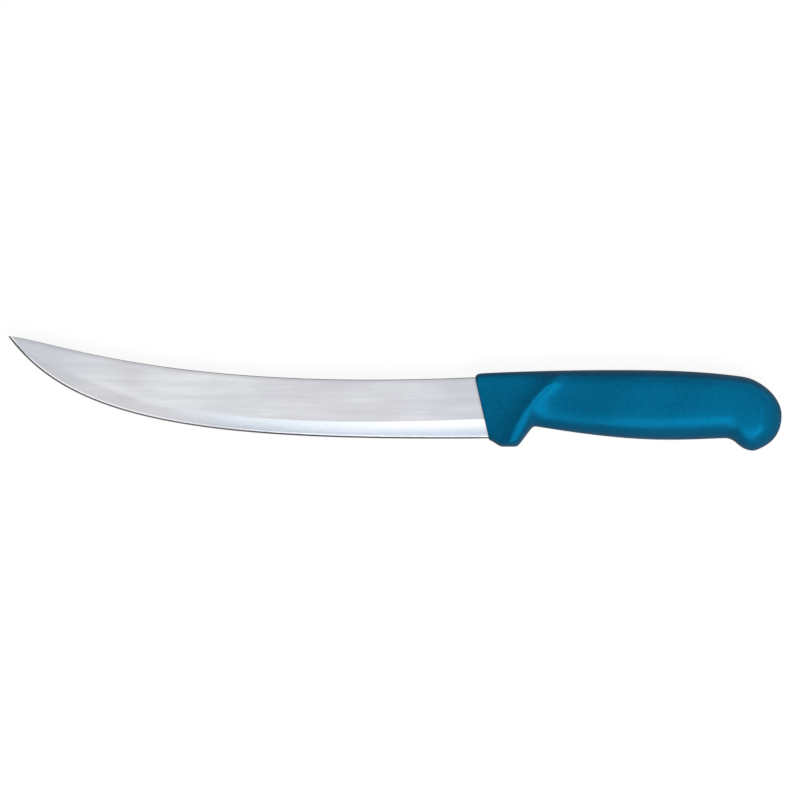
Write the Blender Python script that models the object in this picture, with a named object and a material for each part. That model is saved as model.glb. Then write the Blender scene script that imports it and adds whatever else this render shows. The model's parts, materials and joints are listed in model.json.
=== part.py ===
"""Breaking knife: a curved butcher's blade with its tang moulded into a one-piece plastic handle.

The knife lies on its side. X runs from the tip to the butt, Y from the edge to the spine and Z through the
thickness. It is drawn from the point where the spine enters the handle, with the heel of the edge at y = 0
and the blade's middle plane at z = 0. An empty then carries both pieces, so that the finished knife lies on
z = 0 with the origin under the middle of its box.
"""

import math

import bmesh
import bpy
from mathutils import Vector
from mathutils.geometry import interpolate_bezier

# Blade, in metres
BLADE_LENGTH = 0.2032
BLADE_DEPTH = 0.0267
BLADE_THICKNESS = 0.0023
TIP_RISE = 0.0446
TIP_THICKNESS = 0.0008
TAPER_LENGTH = 0.108
SPINE_EASE = 0.0003

# Directions of the spine and the edge at both ends, and how far each end steers its curve
SPINE_TIP_ANGLE = math.radians(-5)
SPINE_TIP_REACH = 0.020
SPINE_HEEL_ANGLE = math.radians(2.6)
SPINE_HEEL_REACH = 0.135
EDGE_TIP_ANGLE = math.radians(-54)
EDGE_TIP_REACH = 0.046
EDGE_HEEL_ANGLE = math.radians(0.4)
EDGE_HEEL_REACH = 0.119

# Ground bevel: its height over the edge at the handle, at its narrowest and in the belly of the blade
BEVEL_AT_HEEL = 0.0084
BEVEL_NARROWEST = 0.0065
BEVEL_AT_BELLY = 0.0090
NARROWEST_FROM_HANDLE = 0.105
BELLY_FROM_HANDLE = 0.161
BEVEL_BLEND = 0.00065
BEVEL_CROWN = 0.00005
HONED_HEIGHT = 0.0008
HONED_THICKNESS = 0.0004

# Where the blade runs out at the tip, these keep the section whole, as shares of its depth or half thickness
BEVEL_DEPTH_SHARE = 0.45
EASE_DEPTH_SHARE = 0.1
EASE_HALF_SHARE = 0.3
HONED_DEPTH_SHARE = 0.12
HONED_HALF_SHARE = 0.4

# Heel and tang, inside the handle. The tang keeps the sheet's skin, which the blade has ground away.
HEEL_BURIED = 0.0095
TANG_SKIN = 0.0001
TANG_TO_BUTT = 0.0328
TANG_ROOT_HEIGHT = 0.015
TANG_END_HEIGHT = 0.010
TANG_ROOT_UNDER_SPINE = 0.0027
TANG_END_UNDER_SPINE = 0.0069
TANG_END_RADIUS = 0.004
TANG_OVERLAP = 0.003
TANG_HOLE_DIAMETER = 0.006
FRONT_HOLE_FROM_HEEL = 0.0245
REAR_HOLE_FROM_END = 0.018
CLEARANCE = 0.0003

# Handle, outline of the back: heights over the spine where it enters, and places from the butt's end
HANDLE_LENGTH = 0.1337
FRONT_LEAN = 0.23
FRONT_CORNER_RADIUS = 0.0022
FRONT_EDGE_RADIUS = 0.0006
BACK_OVER_SPINE = 0.0016
CROWN_OVER_SPINE = 0.0032
CROWN_X = 0.0607
SHOULDER_TO_BUTT = 0.0168
SHOULDER_OVER_SPINE = 0.0003
SHOULDER_ANGLE = math.radians(-8)
BUTT_END_UNDER_SPINE = 0.0166

# Handle, outline of the belly: heights from the heel of the edge
GUARD_LIP = 0.0001
GUARD_DROP = 0.0036
GUARD_FRONT_X = 0.0112
GUARD_LENGTH = 0.0075
GUARD_FRONT_RADIUS = 0.0036
GUARD_REAR_RADIUS = 0.0026
FINGER_FROM_GUARD = 0.0068
FINGER_RISE = 0.0054
FINGER_RADIUS = 0.0020
FINGER_SLOPE = math.radians(-9.24)
BELLY_TO_BUTT = 0.0488
BELLY_DROP = 0.0006
HOOK_START_TO_BUTT = 0.0251
HOOK_START_RISE = 0.0001
HOOK_START_ANGLE = math.radians(2)
HOOK_TO_BUTT = 0.0122
HOOK_DROP = 0.0055
HOOK_FRONT_ANGLE = math.radians(-5)
HOOK_REAR_ANGLE = math.radians(18)

# How far the two ends of each stretch of the handle's outline steer it, as shares of the stretch
FRONT_STEER = (0.25, 0.33)
CROWN_STEER = (0.34, 0.34)
SHOULDER_STEER = (0.43, 0.51)
GRIP_STEER = (0.333, 0.333)
PALM_STEER = (0.40, 0.30)
HOOK_STEER = (0.48, 0.62)
BUTT_STEER = (0.54, 0.53)

# Handle, half thicknesses from the blade's middle plane to each side
FRONT_HALF = 0.0050
GUARD_CREST_HALF = 0.0093
BACK_CREST_HALF = 0.0102
SCOOP_HALF = 0.0078
PALM_HALF = 0.0102
BUTT_HALF = 0.0094
SCOOP_END_X = 0.0267
PALM_START_X = 0.0667
PALM_END_TO_BUTT = 0.0288
BUTT_START_TO_BUTT = 0.0108
END_ROUNDING = 0.012

# Crest: the slanted ridge between the neck and the grip. It leans towards the butt and bends over at the back
CREST_FOOT_X = 0.0156
CREST_LEAN = 0.30
CREST_BEND = 16.0
CREST_EVEN_SHARE = 0.5
CREST_CLIMB_WIDTH = 0.005
CREST_FALL_WIDTH_GUARD = 0.0026
CREST_FALL_WIDTH_BACK = 0.0055
CREST_BLEND = 0.0004

# Rounding of the handle's section, tight at the front and full in the grip
BACK_ROUNDING_FRONT = 0.0025
BACK_ROUNDING = 0.0060
BELLY_ROUNDING_FRONT = 0.0030
BELLY_ROUNDING = 0.0120
ROUNDING_START_X = 0.012
ROUNDING_END_X = 0.034
ROUNDING_POWER = 2.3
ROUNDING_SHARE = 0.9

# Fineness of the meshes
CURVE_STEPS = 240
ARC_STEPS = 8
BLADE_STATIONS = 56
STATION_CROWDING = 1.4
BEVEL_STRIPS = 3
POCKET_STATIONS = 8
CORNER_STATIONS = 6
NECK_STEP = 0.0012
NECK_END_X = 0.0448
GRIP_STEP = 0.0036
HOOK_STEP = 0.0016
END_STATIONS = 9
BACK_POINTS = 5
SIDE_POINTS = 13
BELLY_POINTS = 7
HOLE_SIDES = 32
MERGE_DISTANCE = 1e-7


def smooth_step(low, high, x):
    """0 before low, 1 after high, and an even S between them."""
    t = min(max((x - low) / (high - low), 0), 1)
    return t * t * (3 - 2 * t)


def blended_lower(a, b, blend):
    """The lower of two heights, rounded over where they cross."""
    least = min(a, b)
    return least - blend * math.log(math.exp((least - a) / blend) + math.exp((least - b) / blend))


def bent_run(start, start_angle, start_reach, end, end_angle, end_reach):
    """A curve that leaves start and reaches end in the directions given."""
    leaving = Vector((math.cos(start_angle), math.sin(start_angle), 0)) * start_reach
    arriving = Vector((math.cos(end_angle), math.sin(end_angle), 0)) * end_reach
    start = Vector((*start, 0))
    end = Vector((*end, 0))
    return interpolate_bezier(start, start + leaving, end - arriving, end, CURVE_STEPS)


def rounded_corner(before, corner, after, radius):
    """The arc of this radius that rounds the corner between the lines to the points before and after it."""
    corner = Vector(corner)
    towards_before = (Vector(before) - corner).normalized()
    towards_after = (Vector(after) - corner).normalized()
    half_angle = towards_before.angle(towards_after) / 2
    centre = corner + (towards_before + towards_after).normalized() * (radius / math.sin(half_angle))
    first = corner + towards_before * (radius / math.tan(half_angle)) - centre
    last = corner + towards_after * (radius / math.tan(half_angle)) - centre
    start = math.atan2(first.y, first.x)
    turn = math.remainder(math.atan2(last.y, last.x) - start, 2 * math.pi)
    angles = [start + turn * k / ARC_STEPS for k in range(ARC_STEPS + 1)]
    return [Vector((centre.x + radius * math.cos(a), centre.y + radius * math.sin(a), 0)) for a in angles]


def height_at(run, x):
    """The y of a run of points at x, carried on straight past its ends."""
    for a, b in zip(run, run[1:]):
        if x <= b.x:
            break
    return a.y + (x - a.x) * (b.y - a.y) / (b.x - a.x)


def spine_run():
    """The spine, from the tip to the handle."""
    return bent_run(
        (-BLADE_LENGTH, TIP_RISE), SPINE_TIP_ANGLE, SPINE_TIP_REACH,
        (0, BLADE_DEPTH), SPINE_HEEL_ANGLE, SPINE_HEEL_REACH,
    )


def edge_run():
    """The cutting edge, from the tip to the handle."""
    return bent_run(
        (-BLADE_LENGTH, TIP_RISE), EDGE_TIP_ANGLE, EDGE_TIP_REACH,
        (0, 0), EDGE_HEEL_ANGLE, EDGE_HEEL_REACH,
    )


def bevel_height(x, depth):
    """How far the grind line stands over the edge: wide at the heel, then narrow, wide again in the belly."""
    narrowest = -NARROWEST_FROM_HANDLE
    if x > narrowest:
        wide, reach = BEVEL_AT_HEEL, NARROWEST_FROM_HANDLE
    else:
        wide, reach = BEVEL_AT_BELLY, BELLY_FROM_HANDLE - NARROWEST_FROM_HANDLE
    free = BEVEL_NARROWEST + (wide - BEVEL_NARROWEST) * ((x - narrowest) / reach) ** 2
    return blended_lower(free, BEVEL_DEPTH_SHARE * depth, BEVEL_BLEND)


def blade_section(x, spine, edge, growth):
    """The blade's outline at x, round from the spine down one side to the edge and up the other."""
    top = height_at(spine, x)
    bottom = height_at(edge, x)
    depth = top - bottom
    full = smooth_step(-BLADE_LENGTH, TAPER_LENGTH - BLADE_LENGTH, x)
    half = (TIP_THICKNESS + (BLADE_THICKNESS - TIP_THICKNESS) * full) / 2
    ease = min(SPINE_EASE, EASE_HALF_SHARE * half, EASE_DEPTH_SHARE * depth)
    honed = min(HONED_HEIGHT, HONED_DEPTH_SHARE * depth)
    honed_half = min(HONED_THICKNESS / 2, HONED_HALF_SHARE * half)
    line = bevel_height(x, depth)
    side = [(half - ease, top + growth), (half, top - ease)]
    for share in (k / BEVEL_STRIPS for k in range(BEVEL_STRIPS + 1)):
        swell = BEVEL_CROWN * 4 * share * (1 - share)
        side.append((half + (honed_half - half) * share + swell, bottom + line + (honed - line) * share))
    near = [Vector((x, y, z + growth)) for z, y in side]
    near.append(Vector((x, bottom - growth, growth)))
    return near + [Vector((p.x, p.y, -p.z)) for p in reversed(near)]


def new_object(name, bm):
    """Turns a closed bmesh into an object whose faces all point outwards."""
    bmesh.ops.remove_doubles(bm, verts=bm.verts, dist=MERGE_DISTANCE)
    bmesh.ops.dissolve_degenerate(bm, edges=bm.edges, dist=MERGE_DISTANCE)
    bmesh.ops.recalc_face_normals(bm, faces=bm.faces)
    mesh = bpy.data.meshes.new(name)
    bm.to_mesh(mesh)
    bm.free()
    mesh.shade_smooth()
    obj = bpy.data.objects.new(name, mesh)
    bpy.context.collection.objects.link(obj)
    return obj


def add_patch(bm, a, b, c, d):
    """Two triangles over four corners, split along the diagonal that stands further out."""
    if (b.co - a.co).cross(c.co - a.co).dot(d.co - a.co) > 0:
        bm.faces.new((a, b, c))
        bm.faces.new((a, c, d))
    else:
        bm.faces.new((a, b, d))
        bm.faces.new((b, c, d))


def loft(name, rings):
    """Skins rings of equal numbers of points. A ring of one point closes an end, any other is capped."""
    bm = bmesh.new()
    rows = [[bm.verts.new(point) for point in ring] for ring in rings]
    for row, following in zip(rows, rows[1:]):
        count = max(len(row), len(following))
        for k in range(count):
            after = (k + 1) % count
            if len(row) == 1:
                bm.faces.new((row[0], following[k], following[after]))
            elif len(following) == 1:
                bm.faces.new((row[k], following[0], row[after]))
            else:
                add_patch(bm, row[k], following[k], following[after], row[after])
    for row in (rows[0], rows[-1]):
        if len(row) > 1:
            bm.faces.new(row)
    return new_object(name, bm)


def plate(name, outline, circles, half):
    """A flat plate with round holes: the outline and the holes are filled between, then given thickness."""
    bm = bmesh.new()
    edges = []
    for loop in [outline, *circles]:
        verts = [bm.verts.new((x, y, -half)) for x, y, *_ in loop]
        edges += [bm.edges.new(pair) for pair in zip(verts, verts[1:] + verts[:1])]
    bmesh.ops.triangle_fill(bm, edges=edges, use_beauty=True)
    raised = bmesh.ops.extrude_face_region(bm, geom=bm.faces[:])
    moved = [item for item in raised["geom"] if isinstance(item, bmesh.types.BMVert)]
    bmesh.ops.translate(bm, verts=moved, vec=(0, 0, 2 * half))
    return new_object(name, bm)


def circle(x, y, radius):
    """Points round a circle."""
    turns = [2 * math.pi * k / HOLE_SIDES for k in range(HOLE_SIDES)]
    return [(x + radius * math.cos(turn), y + radius * math.sin(turn)) for turn in turns]


def combine(target, tool, operation):
    """Joins tool to target or cuts it out, and leaves the tool out of the finished model."""
    modifier = target.modifiers.new(tool.name, "BOOLEAN")
    modifier.operation = operation
    modifier.object = tool
    tool.hide_render = True
    tool.display_type = "WIRE"


def ground_rings(first_x, last_x, count, growth):
    """Sections of the ground blade between two places along it, closer together towards the first."""
    spine = spine_run()
    edge = edge_run()
    places = [first_x + (last_x - first_x) * (k / count) ** STATION_CROWDING for k in range(count + 1)]
    return [blade_section(x, spine, edge, growth) for x in places]


def make_tang(name, growth):
    """The tang: a plate that narrows towards its round end, with holes that the plastic runs through."""
    length = HANDLE_LENGTH - TANG_TO_BUTT
    root_x = HEEL_BURIED - TANG_OVERLAP
    end_x = length + growth
    root_top = BLADE_DEPTH - TANG_ROOT_UNDER_SPINE
    end_top = BLADE_DEPTH - TANG_END_UNDER_SPINE
    corners = [
        (root_x, root_top - TANG_ROOT_HEIGHT - growth),
        (end_x, end_top - TANG_END_HEIGHT - growth),
        (end_x, end_top + growth),
        (root_x, root_top + growth),
    ]
    lower_end = rounded_corner(corners[0], corners[1], corners[2], TANG_END_RADIUS + growth)
    upper_end = rounded_corner(corners[1], corners[2], corners[3], TANG_END_RADIUS + growth)
    outline = [corners[0], *lower_end, *upper_end, corners[3]]
    root_middle = root_top - TANG_ROOT_HEIGHT / 2
    end_middle = end_top - TANG_END_HEIGHT / 2
    holes = []
    for x in (HEEL_BURIED + FRONT_HOLE_FROM_HEEL, length - REAR_HOLE_FROM_END):
        share = (x - HEEL_BURIED) / (length - HEEL_BURIED)
        middle = root_middle + (end_middle - root_middle) * share
        holes.append(circle(x, middle, TANG_HOLE_DIAMETER / 2 - growth))
    return plate(name, outline, holes, BLADE_THICKNESS / 2 + TANG_SKIN + growth)


def make_blade():
    """The blade and its tang, one piece of steel."""
    tip = [Vector((-BLADE_LENGTH, TIP_RISE, 0))]
    rings = ground_rings(-BLADE_LENGTH, HEEL_BURIED, BLADE_STATIONS, 0)
    blade = loft("blade", [tip, *rings[1:]])
    combine(blade, make_tang("tang_blank", 0), "UNION")
    return blade


def front_x(y):
    """The handle's front face, which leans back towards the edge."""
    return FRONT_LEAN * (BLADE_DEPTH - y)


def crest_x(y):
    """The line of the crest on the handle's side."""
    return CREST_FOOT_X + CREST_LEAN * y + CREST_BEND * y * y


def steered(start, start_angle, end, end_angle, span, steer):
    """A stretch of the handle's outline, steered by its ends over shares of its span."""
    return bent_run(start, start_angle, steer[0] * span, end, end_angle, steer[1] * span)


def butt_end():
    """The rearmost point of the handle."""
    return HANDLE_LENGTH, BLADE_DEPTH - BUTT_END_UNDER_SPINE


def back_run():
    """The handle's back, from the front corner over the crown to the butt's end."""
    corner_y = BLADE_DEPTH + BACK_OVER_SPINE
    corner = (front_x(corner_y), corner_y)
    crown = (CROWN_X, BLADE_DEPTH + CROWN_OVER_SPINE)
    shoulder = (HANDLE_LENGTH - SHOULDER_TO_BUTT, BLADE_DEPTH + SHOULDER_OVER_SPINE)
    rise = math.atan2(2 * (crown[1] - corner_y), CROWN_X)
    along = (corner[0] + math.cos(rise), corner[1] + math.sin(rise))
    front = rounded_corner((front_x(0), 0), corner, along, FRONT_CORNER_RADIUS)
    to_crown = steered(front[-1].xy, rise, crown, 0, CROWN_X, FRONT_STEER)
    to_shoulder = steered(crown, 0, shoulder, SHOULDER_ANGLE, shoulder[0] - CROWN_X, CROWN_STEER)
    down = math.radians(-90)
    round_end = steered(shoulder, SHOULDER_ANGLE, butt_end(), down, SHOULDER_TO_BUTT, SHOULDER_STEER)
    return front + to_crown[1:] + to_shoulder[1:] + round_end[1:]


def belly_run():
    """The handle's belly: guard, finger hollow, grip and butt hook, ending where the back ends."""
    foot_y = -CLEARANCE - GUARD_LIP
    front_foot = (front_x(foot_y), foot_y)
    guard_front = (GUARD_FRONT_X, -GUARD_DROP)
    guard_rear = (GUARD_FRONT_X + GUARD_LENGTH, -GUARD_DROP)
    finger = (guard_rear[0] + FINGER_FROM_GUARD, FINGER_RISE)
    belly = (HANDLE_LENGTH - BELLY_TO_BUTT, -BELLY_DROP)
    hook_start = (HANDLE_LENGTH - HOOK_START_TO_BUTT, HOOK_START_RISE)
    hook = (HANDLE_LENGTH - HOOK_TO_BUTT, -HOOK_DROP)
    before_foot = (2 * front_foot[0] - GUARD_FRONT_X, 2 * foot_y + GUARD_DROP)
    after_finger = (finger[0] + math.cos(FINGER_SLOPE), finger[1] + math.sin(FINGER_SLOPE))
    lobe = [
        Vector((*before_foot, 0)),
        *rounded_corner(front_foot, guard_front, guard_rear, GUARD_FRONT_RADIUS),
        *rounded_corner(guard_front, guard_rear, finger, GUARD_REAR_RADIUS),
        *rounded_corner(guard_rear, finger, after_finger, FINGER_RADIUS),
    ]
    grip = steered(lobe[-1].xy, FINGER_SLOPE, belly, 0, belly[0] - finger[0], GRIP_STEER)
    palm = steered(belly, 0, hook_start, HOOK_START_ANGLE, hook_start[0] - belly[0], PALM_STEER)
    sweep = hook[0] - hook_start[0]
    into_hook = steered(hook_start, HOOK_START_ANGLE, hook, HOOK_FRONT_ANGLE, sweep, HOOK_STEER)
    climb = butt_end()[1] - hook[1]
    round_end = steered(hook, HOOK_REAR_ANGLE, butt_end(), math.radians(90), climb, BUTT_STEER)
    return lobe + grip[1:] + palm[1:] + into_hook[1:] + round_end[1:]


def meet(run, x, lean):
    """Where a run of points crosses the leaning line that passes through x at the spine's height."""
    past = [p.x - x - lean * (BLADE_DEPTH - p.y) for p in run]
    for a, b, past_a, past_b in zip(run, run[1:], past, past[1:]):
        if past_b >= 0:
            break
    return a.lerp(b, min(max(past_a / (past_a - past_b), 0), 1)).y


def grip_half(x):
    """Half the grip's thickness along it: scooped behind the crest, full in the palm, slimmer at the butt."""
    palm_end = HANDLE_LENGTH - PALM_END_TO_BUTT
    butt_start = HANDLE_LENGTH - BUTT_START_TO_BUTT
    swell = (PALM_HALF - SCOOP_HALF) * smooth_step(SCOOP_END_X, PALM_START_X, x)
    fall = (PALM_HALF - BUTT_HALF) * smooth_step(palm_end, butt_start, x)
    into_end = min(max((x - HANDLE_LENGTH) / END_ROUNDING + 1, 0), 1)
    return (SCOOP_HALF + swell - fall) * (1 - into_end**ROUNDING_POWER) ** (1 / ROUNDING_POWER)


def side_half(x, y):
    """Half the handle's thickness on its side: the neck climbs to the crest, which falls into the grip."""
    before = crest_x(y) - x
    along = (crest_x(y) - crest_x(0)) / (crest_x(BLADE_DEPTH) - crest_x(0))
    crest = GUARD_CREST_HALF + (BACK_CREST_HALF - GUARD_CREST_HALF) * along
    even = (x - front_x(y)) / (crest_x(y) - front_x(y))
    late = math.exp(-before / CREST_CLIMB_WIDTH)
    climb = CREST_EVEN_SHARE * even + (1 - CREST_EVEN_SHARE) * late
    neck = FRONT_HALF + (crest - FRONT_HALF) * climb
    widening = CREST_FALL_WIDTH_BACK - CREST_FALL_WIDTH_GUARD
    fall_width = CREST_FALL_WIDTH_GUARD + widening * max(y, 0) / BLADE_DEPTH
    grip = grip_half(x)
    behind = grip + (crest - grip) * math.exp(min(before, CREST_CLIMB_WIDTH) / fall_width)
    return blended_lower(neck, behind, CREST_BLEND)


def rounding(turn):
    """A point on the quarter round that the section's corners follow: how far in, and how far out."""
    power = 2 / ROUNDING_POWER
    return 1 - max(math.cos(turn), 0) ** power, math.sin(turn) ** power


def handle_ring(x, back, belly):
    """The handle's section on the leaning plane that crosses the spine's height at x."""
    lean = FRONT_LEAN * (1 - smooth_step(0, ROUNDING_END_X, x))
    into_edge = max(FRONT_EDGE_RADIUS - x, 0)
    front_inset = FRONT_EDGE_RADIUS - math.sqrt(max(FRONT_EDGE_RADIUS**2 - into_edge**2, 0))
    top = meet(back, x, lean) - front_inset / 2
    bottom = meet(belly, x, lean) + front_inset / 2
    to_grip = smooth_step(ROUNDING_START_X, ROUNDING_END_X, x)
    back_part = BACK_ROUNDING_FRONT + (BACK_ROUNDING - BACK_ROUNDING_FRONT) * to_grip
    belly_part = BELLY_ROUNDING_FRONT + (BELLY_ROUNDING - BELLY_ROUNDING_FRONT) * to_grip
    squeeze = min(1, ROUNDING_SHARE * (top - bottom) / (back_part + belly_part))
    side_top = top - back_part * squeeze
    side_bottom = bottom + belly_part * squeeze
    profile = []
    for k in range(BACK_POINTS):
        inwards, outwards = rounding(math.pi / 2 * k / BACK_POINTS)
        profile.append((top + (side_top - top) * inwards, outwards))
    for k in range(SIDE_POINTS):
        profile.append((side_top + (side_bottom - side_top) * k / SIDE_POINTS, 1))
    for k in range(BELLY_POINTS, -1, -1):
        inwards, outwards = rounding(math.pi / 2 * k / BELLY_POINTS)
        profile.append((bottom + (side_bottom - bottom) * inwards, outwards))
    near = []
    for y, fullness in profile:
        point_x = x + lean * (BLADE_DEPTH - y)
        near.append(Vector((point_x, y, (side_half(point_x, y) - front_inset) * fullness)))
    return near + [Vector((p.x, p.y, -p.z)) for p in reversed(near[1:-1])]


def handle_stations():
    """Where the handle's sections stand: close where its shape turns quickly, wider along the grip."""
    turns = [math.pi / 2 * k / CORNER_STATIONS for k in range(CORNER_STATIONS)]
    stations = [FRONT_CORNER_RADIUS * (1 - math.cos(turn)) for turn in turns]
    start = FRONT_CORNER_RADIUS
    hook_start = HANDLE_LENGTH - HOOK_START_TO_BUTT
    end_start = HANDLE_LENGTH - END_ROUNDING
    for end, step in ((NECK_END_X, NECK_STEP), (hook_start, GRIP_STEP), (end_start, HOOK_STEP)):
        count = math.ceil((end - start) / step)
        stations += [start + (end - start) * (k + 1) / count for k in range(count)]
        start = end
    turns = [math.pi / 2 * (k + 1) / END_STATIONS for k in range(END_STATIONS - 1)]
    return stations + [end_start + END_ROUNDING * math.sin(turn) for turn in turns]


def make_handle():
    """The moulded handle, with the pocket that the buried heel and the tang fill."""
    back = back_run()
    belly = belly_run()
    rings = [handle_ring(x, back, belly) for x in handle_stations()]
    rings.append([Vector((*butt_end(), 0))])
    handle = loft("handle", rings)
    heel_rings = ground_rings(-HEEL_BURIED, HEEL_BURIED + CLEARANCE, POCKET_STATIONS, CLEARANCE)
    combine(handle, loft("heel_pocket", heel_rings), "DIFFERENCE")
    combine(handle, make_tang("tang_pocket", CLEARANCE), "DIFFERENCE")
    return handle


def give_material(obj, name, colour, roughness, metallic):
    """One Principled material for a piece."""
    material = bpy.data.materials.new(name)
    material.use_nodes = True
    shader = material.node_tree.nodes["Principled BSDF"]
    shader.inputs["Base Color"].default_value = (*colour, 1)
    shader.inputs["Roughness"].default_value = roughness
    shader.inputs["Metallic"].default_value = metallic
    obj.data.materials.append(material)


def lay_down(pieces):
    """Carries all on an empty that lays the pieces on the ground, with the origin under their middle."""
    points = [vertex.co for piece in pieces for vertex in piece.data.vertices]
    low = Vector(min(p[axis] for p in points) for axis in range(3))
    high = Vector(max(p[axis] for p in points) for axis in range(3))
    knife = bpy.data.objects.new("knife", None)
    knife.location = (-(low.x + high.x) / 2, -(low.y + high.y) / 2, -low.z)
    for obj in bpy.context.collection.objects:
        obj.parent = knife
    bpy.context.collection.objects.link(knife)


def main():
    for obj in list(bpy.data.objects):
        bpy.data.objects.remove(obj)
    blade = make_blade()
    handle = make_handle()
    give_material(blade, "stainless_steel", (0.62, 0.63, 0.65), 0.3, 1)
    give_material(handle, "blue_polypropylene", (0.002, 0.115, 0.235), 0.45, 0)
    lay_down([blade, handle])


main()
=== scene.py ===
# %% [markdown]
# # Breaking knife
# A butcher's breaking knife lies on its side on a white table and is seen from straight above. The packed
# model gives two solids: the steel, with its heel and tang hidden in the handle, and the moulded plastic
# handle. This lesson keeps their shapes and places, makes them smooth, and gives them the finish of ground
# steel and of moulded plastic. Lengths are in metres. X runs from the tip to the butt, Y from the edge to
# the spine and Z up from the table.

# %% Load the frame
import json
import math

import bpy
import numpy as np
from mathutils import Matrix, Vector

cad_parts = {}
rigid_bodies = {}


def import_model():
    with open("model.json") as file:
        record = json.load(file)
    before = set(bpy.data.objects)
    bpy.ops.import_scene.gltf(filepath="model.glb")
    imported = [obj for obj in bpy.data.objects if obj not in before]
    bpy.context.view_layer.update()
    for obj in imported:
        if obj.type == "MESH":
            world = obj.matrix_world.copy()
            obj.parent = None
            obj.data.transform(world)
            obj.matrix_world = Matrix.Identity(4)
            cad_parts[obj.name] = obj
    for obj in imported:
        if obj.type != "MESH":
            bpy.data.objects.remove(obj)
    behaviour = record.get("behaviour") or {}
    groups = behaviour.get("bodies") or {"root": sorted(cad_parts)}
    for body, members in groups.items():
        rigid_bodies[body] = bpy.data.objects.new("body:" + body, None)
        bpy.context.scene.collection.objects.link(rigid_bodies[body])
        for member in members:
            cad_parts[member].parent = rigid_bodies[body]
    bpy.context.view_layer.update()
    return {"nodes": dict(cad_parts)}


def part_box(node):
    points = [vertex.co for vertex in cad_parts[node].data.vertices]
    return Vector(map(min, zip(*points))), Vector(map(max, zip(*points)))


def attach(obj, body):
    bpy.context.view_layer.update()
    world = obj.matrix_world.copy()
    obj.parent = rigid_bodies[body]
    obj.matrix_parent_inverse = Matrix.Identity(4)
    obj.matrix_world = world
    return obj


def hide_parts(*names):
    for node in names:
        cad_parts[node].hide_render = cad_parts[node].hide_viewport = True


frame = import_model()
MM = 0.001

# %% [markdown]
# ## Where things are
# Both pieces are mirrored about the blade's middle plane, so its height is used again and again. The
# handle's front face leans back a little, as such a face does so that the moulding leaves its tool, and
# everything in front of it is blade.

# %% Places on the knife
FRONT_LEAN = 0.23
FRONT_FACE = Vector((-1, -FRONT_LEAN, 0)).normalized()
blade_low, blade_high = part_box("blade")
handle_low, handle_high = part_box("handle")
MIDDLE_Z = (blade_low.z + blade_high.z) / 2
HALF_THICKNESS = handle_high.z - MIDDLE_Z
print("middle plane at z =", round(MIDDLE_Z / MM, 3), "mm")
print("handle starts at x =", round(handle_low.x / MM, 2), "mm")

# %% [markdown]
# ## Hands for edit mode
# In Blender's window one clicks on faces. A script has no mouse, so these helpers pick faces or edges by
# their place and direction instead, and the next operator then works on what they picked. Everything is
# deselected first, because an operator acts on all that is selected.

# %% Picking in code
def only(obj):
    """Leaves one object selected and active, in object mode."""
    if bpy.context.mode != "OBJECT":
        bpy.ops.object.mode_set(mode="OBJECT")
    bpy.ops.object.select_all(action="DESELECT")
    obj.select_set(True)
    bpy.context.view_layer.objects.active = obj


def edit(obj, mode):
    """Opens an object in edit mode with nothing selected."""
    only(obj)
    bpy.ops.object.mode_set(mode="EDIT")
    bpy.ops.mesh.select_mode(type=mode)
    bpy.ops.mesh.select_all(action="DESELECT")


def close():
    """Leaves edit mode."""
    bpy.ops.object.mode_set(mode="OBJECT")


def pick_faces(obj, test):
    """Selects the faces whose centre and normal pass the test, and stays in edit mode."""
    edit(obj, "FACE")
    close()
    chosen = [face for face in obj.data.polygons if test(face.center, face.normal)]
    for face in chosen:
        face.select = True
    bpy.ops.object.mode_set(mode="EDIT")
    return len(chosen)


def pick_edges(obj, test):
    """Selects the edges whose two ends pass the test, and stays in edit mode."""
    edit(obj, "EDGE")
    close()
    place = [vertex.co for vertex in obj.data.vertices]
    chosen = [edge for edge in obj.data.edges if test(place[edge.vertices[0]], place[edge.vertices[1]])]
    for edge in chosen:
        edge.select = True
    bpy.ops.object.mode_set(mode="EDIT")
    return len(chosen)


def report(obj):
    """Prints how many faces a piece has and how large it is."""
    corners = [Vector(corner) for corner in obj.bound_box]
    size = [round((max(c[k] for c in corners) - min(c[k] for c in corners)) / MM, 2) for k in range(3)]
    print(obj.name, "has", len(obj.data.polygons), "faces and measures", size, "mm")


# %% [markdown]
# ## A clean copy of a solid
# The frame's meshes come as loose triangles and are never changed. A copy is made of each, its loose
# corners are merged and its triangles are paired up to four-sided faces again, which a subdivision surface
# needs to run smoothly along the knife.

# %% Copying a solid
MERGE_DISTANCE = 1e-6
PAIRING_ANGLE = math.radians(60)


def clean_copy(node, name):
    """A copy of a CAD solid with its loose corners merged."""
    obj = bpy.data.objects.new(name, frame["nodes"][node].data.copy())
    bpy.context.scene.collection.objects.link(obj)
    obj.data.materials.clear()
    only(obj)
    bpy.ops.mesh.customdata_custom_splitnormals_clear()
    bpy.ops.object.mode_set(mode="EDIT")
    bpy.ops.mesh.select_mode(type="FACE")
    bpy.ops.mesh.select_all(action="SELECT")
    bpy.ops.mesh.remove_doubles(threshold=MERGE_DISTANCE)
    bpy.ops.mesh.mark_sharp(clear=True)
    close()
    return obj


def pair_triangles(obj):
    """Pairs triangles up to quads."""
    edit(obj, "FACE")
    bpy.ops.mesh.select_all(action="SELECT")
    bpy.ops.mesh.tris_convert_to_quads(face_threshold=PAIRING_ANGLE, shape_threshold=PAIRING_ANGLE)
    close()


# %% [markdown]
# ## The handle's skin
# The handle is one injection moulding round the tang. Its copy still has the pocket that the tang fills,
# with a small gap all round. The real plastic is moulded tight against the steel, so the pocket and the
# front face are taken off, the front is closed again with a flat face, and the slot is cut later to fit the
# steel.

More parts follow.
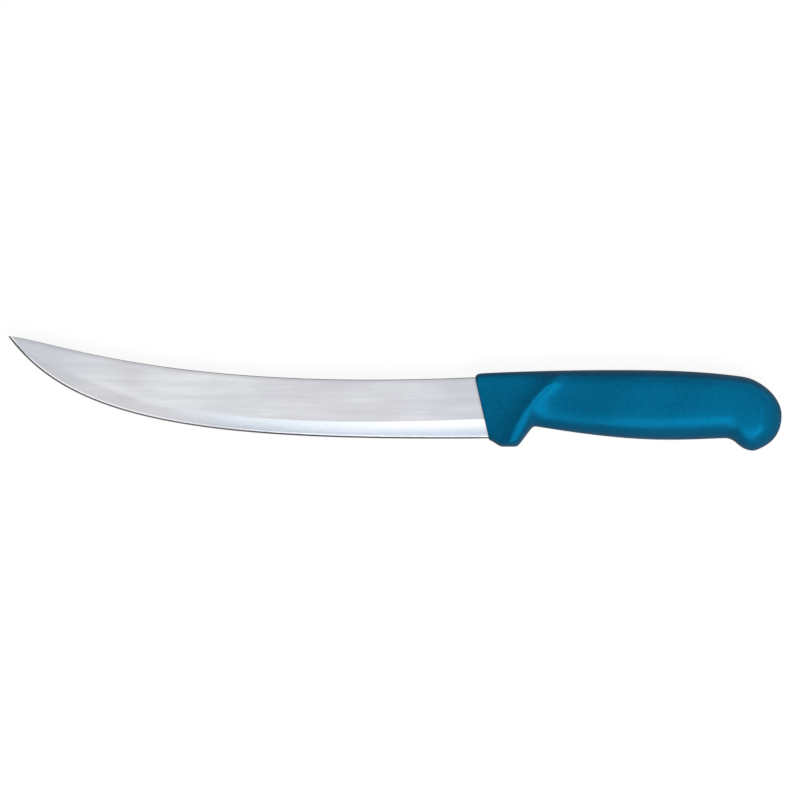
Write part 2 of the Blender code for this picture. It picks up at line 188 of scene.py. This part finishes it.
# %% Take the front and the pocket off
CUT_DEPTH = 0.6 * MM
FACING = 1e-4
handle = clean_copy("handle", "moulded_handle")
front = max(vertex.co.dot(FRONT_FACE) for vertex in handle.data.vertices)
pick_faces(handle, lambda centre, normal: front - centre.dot(FRONT_FACE) < CUT_DEPTH)
bpy.ops.mesh.delete(type="FACE")
inner = pick_faces(handle, lambda centre, normal: normal.z * (centre.z - MIDDLE_Z) < -FACING)
bpy.ops.mesh.select_linked()
bpy.ops.mesh.delete(type="FACE")
close()
pair_triangles(handle)
print("faces that looked inwards:", inner)
report(handle)

# %% [markdown]
# The palm rests on a flat on each side of the handle. Its long thin triangles would dent the smooth skin at
# the flat's rim, so they are dissolved into one face. An inset then lays a ring of even faces inside the
# rim.

# %% Lay the flat palm faces anew
PALM_RING = 2.5 * MM
SAME_PLACE = 1e-6
pick_faces(handle, lambda centre, normal: abs(centre.z - MIDDLE_Z) > HALF_THICKNESS - SAME_PLACE)
bpy.ops.mesh.dissolve_faces()
bpy.ops.mesh.inset(thickness=PALM_RING, use_even_offset=True)
close()
report(handle)

# %% [markdown]
# ## The handle's front
# The rim that was left open is extruded forwards in four short steps, and each new loop is drawn in a
# little more than the one before. Its steps follow a quarter circle, so the front edge is round again. The
# upper corner follows its own larger circle and takes only half of that inset. A face closes the front, and
# two insets keep its rim crisp later on.

# %% Round the front edge again and close it
CORNER_RADIUS = 2.2 * MM
EDGE_RADIUS = 0.6 * MM
ROUNDING_DEPTHS = (0.35 * MM, 0.15 * MM, 0.04 * MM, 0.0)
RIM_INSET = 0.3 * MM
FACE_INSET = 1.5 * MM
TOP_INSET_SHARE = 0.5


def corner_drop(radius, depth):
    """How far a round corner falls back at a depth behind the face that it runs into."""
    return radius - math.sqrt(radius**2 - (radius - depth) ** 2)


edit(handle, "EDGE")
bpy.ops.mesh.select_non_manifold()
close()
rim = [vertex.co.copy() for vertex in handle.data.vertices if vertex.select]
depth = front - sum(point.dot(FRONT_FACE) for point in rim) / len(rim)
top = max(point.y for point in rim)
bottom = min(point.y for point in rim)
half = max(point.z for point in rim) - MIDDLE_Z
print("rim of", len(rim), "corners,", round(depth / MM, 3), "mm behind the face")

edit(handle, "EDGE")
bpy.ops.mesh.select_non_manifold()
for next_depth in ROUNDING_DEPTHS:
    fall = corner_drop(CORNER_RADIUS, next_depth) - corner_drop(CORNER_RADIUS, depth)
    inset = corner_drop(EDGE_RADIUS, next_depth) - corner_drop(EDGE_RADIUS, depth)
    new_top = top - fall - inset * TOP_INSET_SHARE
    new_bottom = bottom + inset
    share = (new_top - new_bottom) / (top - bottom)
    still = Vector((0, (new_top - share * top) / (1 - share), MIDDLE_Z))
    still.x = (front - next_depth - still.dot(FRONT_FACE)) / FRONT_FACE.x
    bpy.ops.mesh.extrude_edges_move(
        MESH_OT_extrude_edges_indiv={}, TRANSFORM_OT_translate={"value": FRONT_FACE * (depth - next_depth)}
    )
    bpy.ops.transform.resize(value=(share, share, (half - inset) / half), center_override=still)
    depth, top, bottom, half = next_depth, new_top, new_bottom, half - inset
bpy.ops.mesh.edge_face_add()
bpy.ops.mesh.select_mode(type="FACE")
bpy.ops.mesh.inset(thickness=RIM_INSET, use_even_offset=True)
bpy.ops.mesh.inset(thickness=FACE_INSET, use_even_offset=True)
close()
report(handle)

# %% [markdown]
# ## The parting line
# A moulding shows where the two halves of its tool met. On this handle that is the middle plane, all the
# way round. The edges there are bevelled into a narrow strip, and the strip's middle is sunk a little,
# which leaves a fine groove that stays inside the handle's outline.

# %% Scribe the parting line
LINE_HALF_WIDTH = 0.14 * MM
LINE_DEPTH = 0.05 * MM
LINE_STRIPS = 2
LINE_PROFILE = 0.5


def on_parting_line(point):
    """Is a corner on the middle plane, behind the front's rounding?"""
    return abs(point.z - MIDDLE_Z) < SAME_PLACE and front - point.dot(FRONT_FACE) > EDGE_RADIUS


found = pick_edges(handle, lambda first, second: on_parting_line(first) and on_parting_line(second))
bpy.ops.mesh.bevel(
    offset=LINE_HALF_WIDTH, segments=LINE_STRIPS, profile=LINE_PROFILE, affect="EDGES"
)
pick_edges(handle, lambda first, second: on_parting_line(first) and on_parting_line(second))
bpy.ops.transform.shrink_fatten(value=-LINE_DEPTH)
close()
print("edges on the parting line:", found)
report(handle)

# %% [markdown]
# ## The smooth skin
# The coarse faces carry the handle's form, and a subdivision surface of two levels makes the skin smooth.
# It is applied at once, because the slot is cut into the smooth skin.

# %% Smooth the skin
SKIN_LEVELS = 2
only(handle)
smooth = handle.modifiers.new("smooth_skin", "SUBSURF")
smooth.levels = SKIN_LEVELS
smooth.render_levels = SKIN_LEVELS
bpy.ops.object.modifier_apply(modifier=smooth.name)
report(handle)

# %% [markdown]
# ## The blade
# The blade is ground from sheet steel. Its side is flat from the spine down to the grind line, below which
# a bevel runs down to the honed edge. The grinder leaves each zone with a shade of its own, so the script
# first finds the lines between them at every station along the blade.

# %% Copy the blade and find its lines
# Places in a column of corners that is counted from the spine down.
SPINE, GRIND_LINE, EDGE = 0, 2, -1
FULL_COLUMN = 5
STATION_DIGITS = 6
CORNER_DIGITS = 7
blade = clean_copy("blade", "ground_blade")
pair_triangles(blade)
report(blade)
upper = sorted(
    {(round(v.co.x, STATION_DIGITS), -round(v.co.y, CORNER_DIGITS), round(v.co.z, CORNER_DIGITS))
     for v in blade.data.vertices
     if v.co.z > MIDDLE_Z - SAME_PLACE and v.co.x < handle_low.x}
)
lines = []
for station in sorted({x for x, y, z in upper}):
    column = [-y for x, y, z in upper if x == station]
    if len(column) >= FULL_COLUMN:
        lines.append((station, column[SPINE], column[GRIND_LINE], column[EDGE]))
xs, spine_ys, line_ys, edge_ys = np.array(lines).T
print("stations along the blade:", len(lines))
print("first and last at x =", round(xs[0] / MM, 1), "and", round(xs[-1] / MM, 1), "mm")

# %% [markdown]
# Each corner of the blade then stores how far it lies below the spine, below the grind line and above the
# edge, in millimetres. The last one is measured square to the edge, because the edge rises steeply at the
# tip. The material reads these distances, so its zones follow the blade's own lines. Faces that meet at
# more than a small angle keep a sharp line between them.

# %% Mark the blade's zones
SHARP_LINE = math.radians(2.5)
edge_slopes = np.gradient(edge_ys, xs)
under_spine = blade.data.attributes.new("under_spine", "FLOAT", "POINT")
under_line = blade.data.attributes.new("under_line", "FLOAT", "POINT")
over_edge = blade.data.attributes.new("over_edge", "FLOAT", "POINT")
for vertex in blade.data.vertices:
    x, y = vertex.co.xy
    slant = math.hypot(1, np.interp(x, xs, edge_slopes))
    under_spine.data[vertex.index].value = (np.interp(x, xs, spine_ys) - y) / MM
    under_line.data[vertex.index].value = (np.interp(x, xs, line_ys) - y) / MM
    over_edge.data[vertex.index].value = (y - np.interp(x, xs, edge_ys)) / MM / slant
only(blade)
bpy.ops.object.shade_smooth_by_angle(angle=SHARP_LINE, keep_sharp_edges=True)
report(blade)

# %% [markdown]
# ## The slot
# The plastic shrinks on to the steel as it cools and leaves no gap that one could see. A copy of the blade
# is swollen by a hair and cut out of the smooth handle, so the slot and the pocket for the tang fit the
# steel all round. The skin stays smooth, and the slot's mouth stays sharp.

# %% Cut the slot for the steel
SLOT_PLAY = 0.02 * MM
SHARP_SKIN = math.radians(40)
cutter = bpy.data.objects.new("slot_cutter", blade.data.copy())
bpy.context.scene.collection.objects.link(cutter)
edit(cutter, "FACE")
bpy.ops.mesh.select_all(action="SELECT")
bpy.ops.transform.shrink_fatten(value=SLOT_PLAY, use_even_offset=True)
close()
only(handle)
cut = handle.modifiers.new("slot", "BOOLEAN")
cut.operation = "DIFFERENCE"
cut.object = cutter
bpy.ops.object.modifier_apply(modifier=cut.name)
bpy.data.objects.remove(cutter)
bpy.ops.object.shade_smooth_by_angle(angle=SHARP_SKIN)
report(handle)

# %% [markdown]
# ## Shader maths
# A material's pattern is arithmetic on sockets. This small class lets it be written as ordinary
# expressions: numbers add, multiply and step from 0 to 1, and a mask blends two colours. Several sockets of
# a Mix node share a name, so its colour sockets go by number.

# %% Sockets that can be calculated with
MIX_MASK, MIX_FIRST, MIX_SECOND = 0, 6, 7
MIX_RESULT = 2
NOISE_MIDDLE = 0.5


class Wire:
    """An output of a shader node. An expression on wires adds its Math nodes."""

    def __init__(self, socket):
        self.socket = socket
        self.tree = socket.id_data

    def node(self, kind, settings, sockets, output=0):
        """Another node of the same tree."""
        return add_node(self.tree, kind, settings, sockets, output)

    def math(self, operation, *values):
        """A Math node with its values in order."""
        return self.node("Math", {"operation": operation}, dict(enumerate(values)))

    def __add__(self, other):
        return self.math("ADD", self, other)

    def __radd__(self, other):
        return self.math("ADD", other, self)

    def __sub__(self, other):
        return self.math("SUBTRACT", self, other)

    def __rsub__(self, other):
        return self.math("SUBTRACT", other, self)

    def __mul__(self, other):
        return self.math("MULTIPLY", self, other)

    def __rmul__(self, other):
        return self.math("MULTIPLY", other, self)

    def step(self, low, high):
        """0 at low, 1 at high, and an even S between them."""
        return self.node(
            "MapRange", {"interpolation_type": "SMOOTHSTEP"},
            {"Value": self, "From Min": low, "From Max": high},
        )

    def blend(self, first, second):
        """A colour: first where this mask is 0, second where it is 1."""
        sockets = {MIX_MASK: self, MIX_FIRST: first, MIX_SECOND: second}
        return self.node("Mix", {"data_type": "RGBA"}, sockets, MIX_RESULT)


def add_node(tree, kind, settings, sockets, output=0):
    """Any node: its settings are set first, then its sockets are given values or wires."""
    node = tree.nodes.new("ShaderNode" + kind)
    for name, value in settings.items():
        setattr(node, name, value)
    for name, value in sockets.items():
        if isinstance(value, Wire):
            tree.links.new(value.socket, node.inputs[name])
        else:
            node.inputs[name].default_value = value
    if node.outputs:
        return Wire(node.outputs[output])


def new_material(name):
    """An empty material and its node tree."""
    material = bpy.data.materials.new(name)
    material.use_nodes = True
    material.node_tree.nodes.clear()
    return material, material.node_tree


def finish_material(tree, sockets):
    """Adds the shader with its values and the output."""
    shader = add_node(tree, "BsdfPrincipled", {}, sockets)
    add_node(tree, "OutputMaterial", {}, {"Surface": shader})


def object_place(tree):
    """The place on the object, in metres."""
    return add_node(tree, "TexCoord", {}, {}, "Object")


def attribute(tree, name):
    """A distance that the mesh carries."""
    return add_node(tree, "Attribute", {"attribute_name": name}, {}, "Fac")


def noise(tree, scale, detail, roughness):
    """Even noise round its middle, with its number of waves per metre along X, Y and Z."""
    place = add_node(tree, "Mapping", {}, {"Vector": object_place(tree), "Scale": scale})
    return add_node(
        tree, "TexNoise", {}, {"Vector": place, "Scale": 1, "Detail": detail, "Roughness": roughness}
    )


# %% [markdown]
# ## Ground steel: the flats
# The sides of the blade were ground with a belt along its length. Seen closely that leaves faint long
# streaks, and cloudy patches where the belt pressed more or less. Two noises make them: one is stretched a
# long way along X, the other only a little. Beside the handle and towards the tip a painted shade darkens
# the flats. Near the tip a painted highlight lies along the grind line like a soft pale ridge, with painted
# shade on the bevel below it. Each share says how much of a shade comes through where its mask is full.

# %% The flats
CLOUD_DULL = (0.615, 0.615, 0.65, 1)
CLOUD_BRIGHT = (0.72, 0.735, 0.765, 1)
STREAK = (0.46, 0.465, 0.50, 1)
# Painted shade on the flats beside the handle and towards the tip.
PAINTED_HANDLE_SHADE = (0.42, 0.45, 0.51, 1)
PAINTED_TIP_SHADE = (0.46, 0.49, 0.55, 1)
# Painted highlight along the grind line near the tip, and painted shade on the bevel below it.
PAINTED_RIDGE_FOOT_SHADE = (0.50, 0.49, 0.52, 1)
RIDGE = (0.70, 0.71, 0.73, 1)
CLOUD_SCALE = (28, 55, 55)
BELT_SCALE = (18, 300, 300)
SOFT_NOISE = {"detail": 2, "roughness": 0.5}
BELT_NOISE = {"detail": 4, "roughness": 0.7}
CLOUD_RANGE = (0.3, 0.7)
BELT_RANGE = (0.25, 0.75)
TIP_ZONE = (-0.16, -0.12)
MIDDLE_ZONE = (-0.125, -0.04)
HEEL_ZONE = (-0.065, 0.03)
HANDLE_ZONE = (0.0, 0.034)
RIDGE_ZONE = (-0.145, -0.12)
RIDGE_WIDTH_MM = 2.5
STREAK_SHARE = 0.45
HANDLE_SIDE_SHARE = 0.42
TIP_SHARE = 0.6
BELOW_RIDGE_SHARE = 0.4
RIDGE_SHARE = 0.6

steel, tree = new_material("ground_steel")
below_spine = attribute(tree, "under_spine")
below_line = attribute(tree, "under_line")
above_edge = attribute(tree, "over_edge")
along = add_node(tree, "SeparateXYZ", {}, {"Vector": object_place(tree)})
middle = along.step(*MIDDLE_ZONE)
heel = along.step(*HEEL_ZONE)
clouds = noise(tree, CLOUD_SCALE, **SOFT_NOISE).step(*CLOUD_RANGE)
belt = noise(tree, BELT_SCALE, **BELT_NOISE).step(*BELT_RANGE)
# Painted highlight: a pale band along the grind line near the tip.
ridge = below_line.step(-RIDGE_WIDTH_MM, 0) * (1 - below_line.step(0, RIDGE_WIDTH_MM))
ridge = ridge * along.step(*RIDGE_ZONE) * (1 - middle)

colour = clouds.blend(CLOUD_DULL, CLOUD_BRIGHT)
colour = (belt * STREAK_SHARE).blend(colour, STREAK)
# Painted shade: the flats are darkened beside the handle and towards the tip.
colour = (along.step(*HANDLE_ZONE) * HANDLE_SIDE_SHARE).blend(colour, PAINTED_HANDLE_SHADE)
colour = ((1 - along.step(*TIP_ZONE)) * TIP_SHARE).blend(colour, PAINTED_TIP_SHADE)
# Painted shade on the bevel below that painted highlight.
ridge_foot_shade = below_line.step(0, RIDGE_WIDTH_MM) * (1 - middle)
colour = (ridge_foot_shade * BELOW_RIDGE_SHARE).blend(colour, PAINTED_RIDGE_FOOT_SHADE)
colour = (ridge * RIDGE_SHARE).blend(colour, RIDGE)
print("nodes for the flats:", len(tree.nodes))

# %% [markdown]
# ## Ground steel: the bevel
# Below the grind line the steel falls away to the edge. That bevel was polished more finely, and its colour
# also carries a painted reflection: nearly white under the grind line, bluer and darker towards the edge,
# brightest at the heel and fading into the flat towards the tip.

# %% The bevel
# Painted reflection on the bevel: pale under the grind line, dark towards the edge, brightest at the heel.
TIP_TOP = (0.64, 0.65, 0.68, 1)
TIP_FOOT = (0.62, 0.63, 0.68, 1)
MIDDLE_TOP = (0.64, 0.70, 0.76, 1)
MIDDLE_FOOT = (0.30, 0.33, 0.39, 1)
HEEL_TOP = (0.81, 0.83, 0.85, 1)
HEEL_FOOT = (0.395, 0.45, 0.52, 1)
LINE_CRISPNESS_MM = 0.05
SHADE_MM = (0.5, 6.5)
BEVEL_FADE = (0, 0.6)

bevel_mask = below_line.step(-LINE_CRISPNESS_MM, LINE_CRISPNESS_MM)
# The bevel's colour is partly its finer polish and partly a painted reflection.
bevel_top_reflection = middle.blend(TIP_TOP, heel.blend(MIDDLE_TOP, HEEL_TOP))
bevel_foot_reflection = middle.blend(TIP_FOOT, heel.blend(MIDDLE_FOOT, HEEL_FOOT))
bevel = below_line.step(*SHADE_MM).blend(bevel_top_reflection, bevel_foot_reflection)
colour = (bevel_mask * middle.step(*BEVEL_FADE)).blend(colour, bevel)
print("nodes with the bevel:", len(tree.nodes))

# %% [markdown]
# ## Ground steel: spine and edge
# The spine's corner is eased, and a painted shade draws it as a thin darker line. Along the cutting edge
# runs a narrow band of honed steel, painted brighter as a highlight. The edge itself catches hardly any
# light, and a painted shade makes it dark against the table, most of all towards the heel.

# %% The spine and the edge
SPINE_SHADE = (0.36, 0.37, 0.39, 1)
SPINE_SHADE_MM = 2.2
SPINE_SHARE = 0.5
# Painted highlight along the honed edge.
TIP_HONED_HIGHLIGHT = (0.85, 0.86, 0.88, 1)
HEEL_HONED_HIGHLIGHT = (0.54, 0.56, 0.60, 1)
HONED_MM = (1.15, 1.3)
# Painted shade on the very edge.
TIP_EDGE_SHADE = (0.13, 0.13, 0.14, 1)
HEEL_EDGE_SHADE = (0.03, 0.03, 0.033, 1)
EDGE_MM = (0.6, 0.85)

# Painted shade: a darker line along the spine.
colour = ((1 - below_spine.step(0, SPINE_SHADE_MM)) * SPINE_SHARE).blend(colour, SPINE_SHADE)
# Painted highlight: a bright band of honed steel along the edge.
colour = (1 - above_edge.step(*HONED_MM)).blend(colour, middle.blend(TIP_HONED_HIGHLIGHT, HEEL_HONED_HIGHLIGHT))
# Painted shade: the very edge is darkened, most of all at the heel.
fringe = 1 - above_edge.step(*EDGE_MM)
colour = fringe.blend(colour, middle.blend(TIP_EDGE_SHADE, HEEL_EDGE_SHADE))
print("nodes with the edges:", len(tree.nodes))

# %% [markdown]
# ## Ground steel: the gloss
# Ground steel is a mirror full of fine scratches. Very fine streaks change its roughness a little and raise
# the surface by hundredths of a millimetre, so reflections smear along the blade. On the polished bevel
# they are weaker and the steel is a little glossier, and the honed edge is duller.

# %% The gloss of steel
SCRATCH_SCALE = (25, 2200, 2200)
FINE_NOISE = {"detail": 3, "roughness": 0.6}
STEEL_ROUGHNESS = 0.22
SCRATCH_ROUGHNESS = 0.12
SCRATCH_HEIGHT = 0.02 * MM
SCRATCH_BUMP = 0.25
BEVEL_CALM = 0.7
BEVEL_POLISH = 0.03
EDGE_DULLNESS = 0.2

scratches = noise(tree, SCRATCH_SCALE, **FINE_NOISE)
uneven = (scratches - NOISE_MIDDLE) * SCRATCH_ROUGHNESS * (1 - bevel_mask * BEVEL_CALM)
bump = add_node(
    tree, "Bump", {}, {"Height": scratches, "Strength": SCRATCH_BUMP, "Distance": SCRATCH_HEIGHT}
)
finish_material(
    tree,
    {"Base Color": colour, "Metallic": 1, "Normal": bump,
     "Roughness": STEEL_ROUGHNESS + uneven - bevel_mask * BEVEL_POLISH + fringe * EDGE_DULLNESS},
)
print("nodes of ground steel:", len(tree.nodes))

# %% [markdown]
# ## Moulded plastic
# The handle is coloured through, so its blue hardly varies. The tool's spark-eroded surface leaves a fine
# grain that gives a firm grip and a satin gloss. A painted shade darkens the grain's hollows a little, as
# they catch less light. The highlights keep the blue of the plastic, so the reflection is tinted.

# %% The plastic
BLUE_LOW = (0.0018, 0.089, 0.183, 1)
BLUE_HIGH = (0.0019, 0.126, 0.257, 1)
GLOSS_TINT = (0, 0.5, 1, 1)
MOTTLE_SCALE = (60, 60, 60)
GRAIN_SCALE = (800, 800, 800)
MOTTLE_RANGE = (0.3, 0.7)
GRAIN_RANGE = (0.35, 0.65)
MOTTLE_SHARE = 0.4
GRAIN_SHARE = 0.6
GLOSS_LEVEL = 0.8
PLASTIC_ROUGHNESS = 0.34
GRAIN_ROUGHNESS = 0.15
GRAIN_HEIGHT = 0.06 * MM
GRAIN_BUMP = 0.3

plastic, tree = new_material("moulded_plastic")
mottle = noise(tree, MOTTLE_SCALE, **SOFT_NOISE).step(*MOTTLE_RANGE)
grain = noise(tree, GRAIN_SCALE, **FINE_NOISE)
bump = add_node(tree, "Bump", {}, {"Height": grain, "Strength": GRAIN_BUMP, "Distance": GRAIN_HEIGHT})
# Random mottle in the blue, plus a painted shade in the grain's hollows.
shade = mottle * MOTTLE_SHARE + grain.step(*GRAIN_RANGE) * GRAIN_SHARE
finish_material(
    tree,
    {"Base Color": shade.blend(BLUE_LOW, BLUE_HIGH), "Normal": bump,
     "Roughness": PLASTIC_ROUGHNESS + (grain - NOISE_MIDDLE) * GRAIN_ROUGHNESS,
     "Specular IOR Level": GLOSS_LEVEL, "Specular Tint": GLOSS_TINT},
)
print("nodes of moulded plastic:", len(tree.nodes))

# %% [markdown]
# ## Put the pieces on the frame
# Each finished piece takes the place of the solid that it was copied from. It rides the object's root,
# because nothing on a knife moves, and it carries its own material.

# %% Pieces, nodes and slots
for piece, node, slot, material in (
    (blade, "blade", "blade_steel", steel),
    (handle, "handle", "handle_plastic", plastic),
):
    piece.data.materials.append(material)
    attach(piece, "root")
    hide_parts(node)
    print(piece.name, "stands for", node)

# %% [markdown]
# ## The table and the room
# The photo shows the knife on plain white. The table is grey to the light that falls on it, so that it
# throws little light back up at the knife, and white to the eye. It keeps the knife's soft shadow. Light
# Path tells the two apart. The room is nearly dark as a lamp and a pale grey in the steel's reflections, so
# that the blade looks like steel from every side.

# %% Table and room
TABLE_GREY = (0.16, 0.16, 0.16, 1)
TABLE_GLOW = (0.9, 0.9, 0.9, 1)
TABLE_IN_GLOSS = 0.12
ROOM_AS_LAMP = (0.03, 0.03, 0.03, 1)
ROOM_SEEN = (0.4, 0.4, 0.4, 1)
BLACK = (0, 0, 0, 1)
TABLE_SIZE = 6


def seen_by_eye(tree, in_gloss):
    """1 where the camera looks or light is let through, in_gloss where a gloss reflects, else 0."""
    path = tree.nodes.new("ShaderNodeLightPath")
    camera_ray, glossy_ray, through_ray = (
        Wire(path.outputs[name]) for name in ("Is Camera Ray", "Is Glossy Ray", "Is Transmission Ray")
    )
    return camera_ray + glossy_ray * in_gloss + through_ray


bpy.ops.object.select_all(action="DESELECT")
bpy.ops.mesh.primitive_plane_add(size=TABLE_SIZE)
table = bpy.context.object
table.name = "table_top"
white, tree = new_material("white_table")
finish_material(
    tree,
    {"Base Color": TABLE_GREY, "Roughness": 1, "Specular IOR Level": 0, "Emission Strength": 1,
     "Emission Color": seen_by_eye(tree, TABLE_IN_GLOSS).blend(BLACK, TABLE_GLOW)},
)
table.data.materials.append(white)

world = bpy.data.worlds.new("room")
world.use_nodes = True
tree = world.node_tree
room_colour = seen_by_eye(tree, 1).blend(ROOM_AS_LAMP, ROOM_SEEN)
tree.links.new(room_colour.socket, tree.nodes["Background"].inputs["Color"])
tree.nodes["Background"].inputs["Strength"].default_value = 1
bpy.context.scene.world = world
print("table of", TABLE_SIZE, "m")

# %% [markdown]
# ## Studio lamps
# A broad softbox straight above fills the steel's flats evenly. Three small ones stand on the edge's side
# and draw the long highlight on the grip's belly and the bright one on the handle's crest. A broad weak one
# behind the handle lifts its back. Each lamp is given as a brightness, or radiance, so its look stays the
# same when its size is changed.

# %% Lamps
LAMP_DISTANCE = 1.5


def softbox(name, towards, size, radiance):
    """A rectangular lamp that looks at the knife. Its watts follow from its area and its brightness."""
    lamp = bpy.data.lights.new(name, "AREA")
    lamp.shape = "RECTANGLE"
    width, height = size
    lamp.size = width
    lamp.size_y = height
    lamp.energy = math.pi * width * height * radiance
    obj = bpy.data.objects.new(name, lamp)
    bpy.context.scene.collection.objects.link(obj)
    towards = Vector(towards).normalized()
    obj.location = towards * LAMP_DISTANCE
    obj.rotation_euler = towards.to_track_quat("Z", "Y").to_euler()
    print(name, "lamp:", round(lamp.energy, 2), "W")


softbox("overhead", towards=(0, 0, 1), size=(1.4, 1.4), radiance=0.68)
softbox("front", towards=(0, -0.71, 0.71), size=(0.4, 0.4), radiance=6.5)
softbox("front right", towards=(0.39, -0.36, 0.85), size=(0.66, 0.66), radiance=5.6)
softbox("front high", towards=(0.1, -0.49, 0.87), size=(0.5, 0.36), radiance=4.6)
softbox("back right", towards=(0.62, 0.58, 0.5), size=(2.0, 1.3), radiance=0.88)

# %% [markdown]
# ## The camera
# The photo was taken square to the blade from far away. The camera hangs two metres above the blade's
# middle plane, and its lens is worked out from the width that the photo spans there.

# %% Camera
CAMERA_HEIGHT = 2.0
VIEW_WIDTH = 0.3485
VIEW_CENTRE = (0.0022, -0.0028)
camera_data = bpy.data.cameras.new("camera")
camera = bpy.data.objects.new("camera", camera_data)
bpy.context.scene.collection.objects.link(camera)
camera.location = (*VIEW_CENTRE, MIDDLE_Z + CAMERA_HEIGHT)
camera_data.lens = camera_data.sensor_width * CAMERA_HEIGHT / VIEW_WIDTH
bpy.context.scene.camera = camera
bpy.context.scene.view_settings.view_transform = "Standard"
print("lens:", round(camera_data.lens, 1), "mm")
